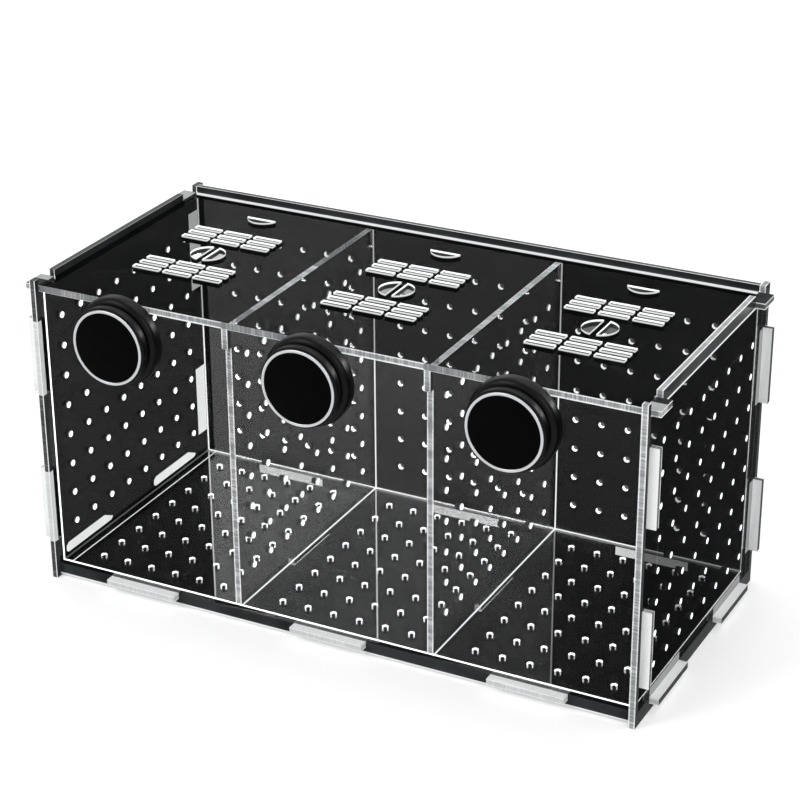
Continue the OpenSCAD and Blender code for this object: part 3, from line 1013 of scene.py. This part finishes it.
# %% Place the beads
width_x, depth_y = (inner_left, inner_right), (inner_front, inner_rear)
beads = {
    "floor_weld_beads": [
        floor_bead(width_x, (inner_rear, inner_rear), (0, -1)),
        floor_bead(width_x, (inner_front, inner_front), (0, 1), width=WIDE_BEAD),
        floor_bead((inner_left, inner_left), depth_y, (1, 0), cement=dim_glow_cement),
        floor_bead((inner_right, inner_right), depth_y, (-1, 0)),
    ],
    "wall_weld_beads": [
        corner_bead(inner_left, inner_rear, (1, -1)),
        corner_bead(inner_right, inner_rear, (-1, -1)),
        corner_bead(inner_left, inner_front, (1, 1), width=WIDE_BEAD),
        corner_bead(inner_right, inner_front, (-1, 1)),
    ],
    "divider_weld_beads": [],
}
for side in ("left", "right"):
    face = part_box(side + "_divider")[1][X]
    beads["divider_weld_beads"] += [
        floor_bead((face, face), depth_y, (1, 0)),
        corner_bead(face, inner_rear, (1, -1)),
    ]
for name, parts in beads.items():
    joined = join(name, parts)
    cut_place = joined.data.attributes.new("cut_place", "FLOAT_VECTOR", "POINT")
    for vertex, value in zip(joined.data.vertices, cut_place.data):
        value.vector = (vertex.co[X] + vertex.co[Y], vertex.co[Z], 1)
    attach(joined, "box")
    print(name, "faces:", len(joined.data.polygons))

# %% [markdown]
# ## Finishes of the magnet clamps
# The housings are injection-moulded ABS with a fine spark texture, which keeps their
# highlights soft, and the pads are a closed-cell rubber. The face disc is cast acrylic,
# polished to a deep black, in which only the smears of the polishing cloth break up the gloss.
# The magnets are nickel plated and the screws are turned from stainless steel. Noise in the
# bumps and the roughness is cheaper than a modelled grain, which would blur at this distance.

# %% Materials: clamp finishes
MOTTLE_SIZE = 12 * MM
SPARK_GRAIN = 0.5 * MM  # coarser than real grain, which would be too fine to show
FOAM_GRAIN = 0.3 * MM
SMEAR_SIZE = 7 * MM
BRUSH_PITCH = 0.25 * MM  # coarser than a real brush's lines, so that the arcs show


def metal(name, dark, light, low_rough, high_rough, line_pitch, axis_place=None):
    """A metal whose tint, roughness and grooves all follow its fine lines."""
    tint = (line_pitch, 3.0, (0.3, dark), (0.7, light))
    gloss = (line_pitch, 3.0, low_rough, high_rough)
    grooves = (line_pitch, 3.0, 0.15, 0.05 * MM)
    return varied_finish(name, {"Metallic": 1.0}, tint, gloss, grooves, axis_place)


# black, with a broad soft highlight along its round rim; the IOR is under the 1.5 of ABS,
# because the spark texture scatters much of the gloss
housing_abs = varied_finish(
    "spark_textured_black_abs",
    {"IOR": 1.2},
    (MOTTLE_SIZE, 2.0, (0.3, "#040404"), (0.7, "#070708")),
    (SPARK_GRAIN, 3.0, 0.26, 0.36),
    (SPARK_GRAIN, 3.0, 0.2, 0.1 * MM),
)
# dull dark grey, with no highlight at all
pad_rubber = varied_finish(
    "closed_cell_rubber_pad",
    {"IOR": 1.5},
    (MOTTLE_SIZE, 2.0, (0.3, "#121212"), (0.7, "#1c1c1c")),
    (FOAM_GRAIN, 3.0, 0.75, 0.95),
    (FOAM_GRAIN, 3.0, 0.5, 0.1 * MM),
)
# the deepest black, with a faint even mirror image of the studio, hence the low IOR
face_acrylic = varied_finish(
    "polished_black_cast_acrylic",
    {"IOR": 1.08},
    (SMEAR_SIZE, 4.0, (0.3, "#020202"), (0.7, "#040404")),
    (SMEAR_SIZE, 4.0, 0.04, 0.14),
)
# bright and slightly warm
magnet_nickel = metal("nickel_plated_magnet", "#a9a7a2", "#c4c2bd", 0.16, 0.3, 2 * MM)
# a little duller, with the grain of turned steel
screw_steel = metal("turned_stainless_screw", "#9c9c9a", "#bdbdbb", 0.25, 0.4, 0.4 * MM)
print("clamp finishes:", [m.name for m in (housing_abs, pad_rubber, face_acrylic, magnet_nickel)])

# %% [markdown]
# ## The magnet clamps
# All three clamps are alike, so the left one is modelled and the others are copies moved by
# the distance between their CAD nodes. Every piece of a clamp is round about an axis that
# points forwards, so each starts as a cylinder laid along Y and is shaped with insets,
# bevels and extrusions.

# %% Helpers for round pieces
SIDES = 96
reference_low, reference_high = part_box("left_inner_housing")
clamp_shift_of = {}
for side in ("left", "middle", "right"):
    clamp_shift_of[side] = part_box(side + "_inner_housing")[0] - reference_low
axis_x = (reference_low[X] + reference_high[X]) / 2
axis_z = (reference_low[Z] + reference_high[Z]) / 2
ON_BOX = {side: "box" for side in clamp_shift_of}
ON_CLAMP = {side: side + "_clamp" for side in clamp_shift_of}


def laid_cylinder(radius, front_y, back_y, sides=SIDES):
    """A cylinder along Y on the left clamp's axis."""
    bpy.ops.object.select_all(action="DESELECT")
    bpy.ops.mesh.primitive_cylinder_add(
        vertices=sides,
        radius=radius,
        depth=back_y - front_y,
        location=(axis_x, (front_y + back_y) / 2, axis_z),
        rotation=(math.pi / 2, 0, 0),
    )
    bpy.ops.object.transform_apply(location=True, rotation=True, scale=True)
    return bpy.context.object


def turned(node):
    """A cylinder that fills a round CAD node's box, with its radius and its two ends."""
    low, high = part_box(node)
    radius = (high[X] - low[X]) / 2
    return laid_cylinder(radius, low[Y], high[Y]), radius, low[Y], high[Y]


def radius_of(point):
    """Distance of a point from the left clamp's axis."""
    return math.hypot(point[X] - axis_x, point[Z] - axis_z)


def on_axis(face):
    """True for a face whose middle lies on the left clamp's axis."""
    return radius_of(face.calc_center_median()) < TOUCH


print("left clamp's axis in mm:", round(axis_x / MM, 1), round(axis_z / MM, 1))

# %% [markdown]
# ### Shaping a round piece
# Four steps are enough for every piece: round a rim, inset a cap, push a ring of faces in, and
# open a hole right through. For a hole, both caps are inset, their middles are deleted and
# the two loops are bridged, which keeps the mesh clean where a Boolean would cut slivers.

# %% Steps that shape a round piece
def bevel_rim(piece, at_y, radius, width, segments):
    """Rounds the circular edge at a given place along the axis and a given radius."""
    def on_rim(edge):
        """True for an edge with both ends on the circle."""
        return all(near(v.co[Y], at_y) and near(radius_of(v.co), radius) for v in edge.verts)

    edit(piece, "EDGE")
    pick(piece, "EDGE", on_rim)
    bpy.ops.mesh.bevel(offset=width, segments=segments, profile=0.5, affect="EDGES")
    done()


def inset_cap(piece, at_y, width):
    """Insets the cap face whose middle lies on the axis at a given place."""
    edit(piece, "FACE")
    pick(piece, "FACE", lambda face: near(face.calc_center_median()[Y], at_y) and on_axis(face))
    bpy.ops.mesh.inset(thickness=width)
    done()


def sink_ring(piece, at_y, outer, inner, travel):
    """Pushes the flat ring of faces between two radii along Y."""
    def in_ring(face):
        """True for a flat face at this place, between the radii."""
        centre = face.calc_center_median()
        flat = near(centre[Y], at_y) and abs(face.normal[Y]) > FACING
        return flat and inner < radius_of(centre) < outer

    edit(piece, "FACE")
    pick(piece, "FACE", in_ring)
    bpy.ops.mesh.extrude_region_move(TRANSFORM_OT_translate={"value": (0, travel, 0)})
    done()


def open_through(piece, front_y, back_y, width):
    """Turns a disc into a ring of the given width."""
    inset_cap(piece, front_y, width)
    inset_cap(piece, back_y, width)
    edit(piece, "FACE")
    pick(piece, "FACE", on_axis)
    bpy.ops.mesh.delete(type="FACE")
    bpy.context.tool_settings.mesh_select_mode = (False, True, False)
    pick(piece, "EDGE", lambda edge: edge.is_boundary)
    bpy.ops.mesh.bridge_edge_loops()
    bpy.ops.mesh.select_all(action="SELECT")
    bpy.ops.mesh.normals_make_consistent(inside=False)
    done()


WHOLE = -1  # an inner radius that takes in the face on the axis too
print("steps:", [step.__name__ for step in (bevel_rim, inset_cap, sink_ring, open_through)])

# %% [markdown]
# ### From one clamp to three
# A mesh could be shared by all three clamps, but each piece has to lie where its clamp is, so
# the copies' meshes are moved, and each piece is set on the body that carries it.

# %% Copy the pieces to all three clamps
def copy_for(piece, side):
    """The left clamp's piece itself, or a copy of it, moved to another clamp."""
    if side == "left":
        return piece
    copy = bpy.data.objects.new(side, piece.data.copy())
    bpy.context.scene.collection.objects.link(copy)
    copy.data.transform(Matrix.Translation(clamp_shift_of[side]))
    return copy


def finish_round(piece, kind, material, bodies, slot):
    """Smooths a round piece of the left clamp, copies it to the others and sets all three.

    material is one for all, or a dictionary with one for each side.
    """
    only(piece)
    bpy.ops.object.shade_smooth_by_angle(angle=SMOOTH_ANGLE)
    copies = {side: copy_for(piece, side) for side in clamp_shift_of}
    for side, copy in copies.items():
        copy.data.materials.append(material[side] if isinstance(material, dict) else material)
        copy.name = side + "_" + kind + "_piece"
        give(copy, bodies[side], slot, side + "_" + kind)
    print(kind, "faces:", len(piece.data.polygons))


print("clamps:", {side: round(shift[X] / MM, 1) for side, shift in clamp_shift_of.items()})

# %% [markdown]
# ### Inner housings
# The inner half stays on the box. Its front rim has a generous round, which carries the broad
# soft highlight, and its back has a ring-shaped pocket for the magnet and a hole for the
# fixing screw. A profile could be spun round the axis, but insets leave rings of faces that
# are ready to be pushed in, each to its own depth.

# %% Inner housings
INNER_ROUND = 3 * MM
POCKET_OUTER = 15.2 * MM
POCKET_INNER = 4.4 * MM
SCREW_HOLE = 2.1 * MM
POCKET_DEPTH = 4.2 * MM
SCREW_HOLE_DEPTH = 4.7 * MM
BACK_ROUND = 0.4 * MM
housing, radius, front_y, back_y = turned("left_inner_housing")
bevel_rim(housing, front_y, radius, INNER_ROUND, segments=10)
bevel_rim(housing, back_y, radius, BACK_ROUND, segments=3)
inset_cap(housing, back_y, radius - BACK_ROUND - POCKET_OUTER)
inset_cap(housing, back_y, POCKET_OUTER - POCKET_INNER)
inset_cap(housing, back_y, POCKET_INNER - SCREW_HOLE)
sink_ring(housing, back_y, POCKET_OUTER, POCKET_INNER, -POCKET_DEPTH)
sink_ring(housing, back_y, SCREW_HOLE, WHOLE, -SCREW_HOLE_DEPTH)
finish_round(housing, "inner_housing", housing_abs, ON_BOX, "housing")

# %% [markdown]
# ### Outer housings
# The outer half is pulled off by hand, so its side is left plain and easy to grip. The front is
# a cup for the magnet, which the face disc closes. It is shaped like the inner half, with a
# much smaller round, because the trim ring sits close inside its rim.

# %% Outer housings
RIM_SLOPE = 0.4 * MM
CUP_RADIUS = 14.2 * MM
CUP_DEPTH = 3.2 * MM
housing, radius, front_y, back_y = turned("left_outer_housing")
bevel_rim(housing, front_y, radius, RIM_SLOPE, segments=3)
bevel_rim(housing, back_y, radius, BACK_ROUND, segments=3)
inset_cap(housing, front_y, radius - RIM_SLOPE - CUP_RADIUS)
sink_ring(housing, front_y, CUP_RADIUS, WHOLE, CUP_DEPTH)
finish_round(housing, "outer_housing", housing_abs, ON_CLAMP, "housing")

# %% [markdown]
# ### Trim rings
# A ring is plated and brushed round its axis, so it shines in arcs. The lines could be cut into
# the mesh, but a noise of the distance from the axis gives the same arcs, with a material for
# each ring. The shape starts as a disc, made a little smaller so that the housing's rim shows
# round it, and opened right through. Its rims are rounded to catch a thin line of light.

# %% Trim rings
RING_SHRINK = 0.55 * MM
RING_WIDTH = 1.35 * MM
RING_ROUND = 0.28 * MM
ring, radius, front_y, back_y = turned("left_trim_ring")
edit(ring, "VERT")
bpy.ops.transform.resize(
    value=(1 - RING_SHRINK / radius, 1, 1 - RING_SHRINK / radius),
    center_override=(axis_x, front_y, axis_z),
)
done()
radius -= RING_SHRINK
open_through(ring, front_y, back_y, RING_WIDTH)
bevel_rim(ring, front_y, radius, RING_ROUND, segments=4)
bevel_rim(ring, front_y, radius - RING_WIDTH, RING_ROUND, segments=4)
brushed = {}  # plated metal that shines in two bright arcs across each ring
for side, shift in clamp_shift_of.items():
    axis_place = (axis_x + shift[X], axis_z + shift[Z])
    name = "brushed_plated_ring_" + side
    brushed[side] = metal(name, "#9a9c9e", "#d6d8da", 0.18, 0.34, BRUSH_PITCH, axis_place)
finish_round(ring, "trim_ring", brushed, ON_CLAMP, "trim")

# %% [markdown]
# ### Face discs
# The disc sits flush inside the ring and closes the cup. A plain cylinder would end in a sharp
# edge that catches no light, so its rim gets a small bevel, which also leaves a fine dark gap
# beside the ring.

# %% Face discs
DISC_ROUND = 0.25 * MM
face_disc, radius, front_y, back_y = turned("left_face_disc")
bevel_rim(face_disc, front_y, radius, DISC_ROUND, segments=4)
finish_round(face_disc, "face_disc", face_acrylic, ON_CLAMP, "face")

# %% [markdown]
# ### Pads and magnets
# The pads are die-cut discs whose edge bulges a little. The outer magnets are plain discs and
# the inner ones are rings, both with the small chamfer that stops sintered magnets chipping.
# They are nearly hidden, so bevels on plain cylinders and rings are all they need.

# %% Pads and magnets
PAD_ROUND = 0.15 * MM
MAGNET_CHAMFER = 0.4 * MM
MAGNET_HOLE = 4.6 * MM
for kind, bodies in (("inner_pad", ON_BOX), ("outer_pad", ON_CLAMP)):
    pad, radius, front_y, back_y = turned("left_" + kind)
    bevel_rim(pad, front_y, radius, PAD_ROUND, segments=2)
    finish_round(pad, kind, pad_rubber, bodies, "pad")
for kind, bodies in (("outer_magnet", ON_CLAMP), ("inner_magnet", ON_BOX)):
    magnet, radius, front_y, back_y = turned("left_" + kind)
    if kind == "inner_magnet":
        open_through(magnet, front_y, back_y, radius - MAGNET_HOLE)
    bevel_rim(magnet, front_y, radius, MAGNET_CHAMFER, segments=2)
    bevel_rim(magnet, back_y, radius, MAGNET_CHAMFER, segments=2)
    finish_round(magnet, kind, magnet_nickel, bodies, "magnet")

# %% [markdown]
# ### Fixing screws
# A pan-head screw goes through the front panel into each inner housing. The head is a short
# cylinder with a large round, and its cross is cut by two blades with a Boolean modifier,
# since the cross doesn't follow the cylinder's own faces.

# %% Fixing screws
screw_low, screw_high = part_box("fixing_screws")
HEAD_RADIUS = (screw_high[Z] - screw_low[Z]) / 2
HEAD_HEIGHT = 2.2 * MM
HEAD_ROUND = 1.3 * MM
SHANK_RADIUS = 2 * MM
SHANK_ROUND = 0.5 * MM
SCREW_SIDES = 48
DRIVE_REACH = 4 * MM
DRIVE_WIDTH = 0.9 * MM
DRIVE_DEPTH = 1.1 * MM
head_y = screw_high[Y] - HEAD_HEIGHT
head = laid_cylinder(HEAD_RADIUS, head_y, screw_high[Y], SCREW_SIDES)
bevel_rim(head, screw_high[Y], HEAD_RADIUS, HEAD_ROUND, segments=6)
for width, height in ((DRIVE_REACH, DRIVE_WIDTH), (DRIVE_WIDTH, DRIVE_REACH)):
    bpy.ops.object.select_all(action="DESELECT")
    bpy.ops.mesh.primitive_cube_add(
        size=1, location=(axis_x, screw_high[Y], axis_z), scale=(width, 2 * DRIVE_DEPTH, height)
    )
    blade = bpy.context.object
    only(head)
    cross_cut = head.modifiers.new("cross", "BOOLEAN")
    cross_cut.operation = "DIFFERENCE"
    cross_cut.object = blade
    bpy.ops.object.modifier_apply(modifier=cross_cut.name)
    bpy.data.objects.remove(blade)
shank = laid_cylinder(SHANK_RADIUS, screw_low[Y], head_y, SCREW_SIDES)
bevel_rim(shank, screw_low[Y], SHANK_RADIUS, SHANK_ROUND, segments=2)
screw = join("left_screw", [head, shank])
screws = join("fixing_screws_piece", [copy_for(screw, side) for side in clamp_shift_of])
bpy.ops.object.shade_smooth_by_angle(angle=SMOOTH_ANGLE)
screws.data.materials.append(screw_steel)
give(screws, "box", "screw", "fixing_screws")
print("screw faces:", len(screws.data.polygons))

# %% [markdown]
# ## Studio
# A wide pale floor, a white surround and three large soft lamps. The floor and the surround
# give more light to the camera, to gloss and to what is seen through the sheets than to the
# rest, so they stay white to the horizon and still keep the object's shadow.

# %% Floor and surround
FLOOR_SIZE = 12
CLOUD_SIZE = 1 / 60  # in m: faint clouds in the paper, about 17 mm wide
OWN_LIGHT = 0.35
SURROUND_LIGHT = {"To Min": 0.45, "To Max": 1.0}


def direct_view(add):
    """1 for light on its way to the camera, to gloss or through a sheet, and 0 for the rest."""
    ray = add("LightPath")
    view = ray.outputs["Is Camera Ray"]
    for way in ("Is Glossy Ray", "Is Transmission Ray"):
        view = add("Math", {"operation": "MAXIMUM"}, {0: view, 1: ray.outputs[way]}).outputs[0]
    return view


bpy.ops.object.select_all(action="DESELECT")
bpy.ops.mesh.primitive_plane_add(size=FLOOR_SIZE, location=(0, 0, 0))
floor = bpy.context.object
floor.name = "studio_floor"
floor_paper, add = new_material("matt_white_paper")  # an even white that keeps soft shadows
place = add("TexCoord").outputs["Object"]
clouds = add("TexNoise", {"Scale": 1 / CLOUD_SIZE, "Detail": 3.0}, {"Vector": place})
shine = {"operation": "MULTIPLY", 1: OWN_LIGHT}
paper_settings = {"Roughness": 0.9, "Specular IOR Level": 0.0, "Emission Color": (1, 1, 1, 1)}
paper = add("BsdfPrincipled", paper_settings, {
    "Base Color": add("ValToRGB", {"stops": [(0.3, "#ececec"), (0.7, "#eeeeee")]}, {"Fac": clouds}),
    "Emission Strength": add("Math", shine, {0: direct_view(add)}),
})
add("OutputMaterial", links={"Surface": paper})
floor.data.materials.append(floor_paper)

world = bpy.data.worlds.new("white_surround")
bpy.context.scene.world = world
world.use_nodes = True
world.node_tree.nodes.clear()
add = partial(add_node, world.node_tree)
strength = add("MapRange", SURROUND_LIGHT, {"Value": direct_view(add)})
surround = add("Background", {"Color": (1, 1, 1, 1)}, {"Strength": strength})
add("OutputWorld", links={"Surface": surround})
print("studio floor in m:", FLOOR_SIZE, "and its paper:", floor_paper.name)

# %% [markdown]
# ### Lamps
# Square area lamps give soft shadows and long highlights. The key stands at the left, a fill
# and a top lamp lift the shadows, and a small kicker behind the box draws the round rims of
# the black housings. It is linked to them alone, since it would wash out the sheets.

# %% Lamps
LAMP_AIM = Vector((0, 0, 0.08))


def lamp(name, place, size, watts):
    """A square soft lamp that points at the middle of the box."""
    data = bpy.data.lights.new(name, "AREA")
    data.size = size
    data.energy = watts
    holder = bpy.data.objects.new(name, data)
    bpy.context.scene.collection.objects.link(holder)
    holder.location = place
    holder.rotation_mode = "QUATERNION"
    holder.rotation_quaternion = (LAMP_AIM - Vector(place)).to_track_quat("-Z", "Y")
    return holder


lamps = [
    lamp("key", (-1.1, -1.3, 1.6), 1.2, 22),
    lamp("fill", (1.6, -0.9, 1.2), 1.2, 12),
    lamp("top", (0.2, 0.7, 1.9), 1.6, 14),
]
kicker = lamp("kicker", (1.3, 1.7, 0.8), 0.6, 25)
housings = bpy.data.collections.new("housings")
for side in clamp_shift_of:
    for half in ("inner", "outer"):
        housings.objects.link(bpy.data.objects[f"{side}_{half}_housing_piece"])
kicker.light_linking.receiver_collection = housings
kicker.light_linking.blocker_collection = housings
bpy.context.scene.view_settings.view_transform = "Standard"
print("lamps:", [holder.name for holder in lamps + [kicker]])
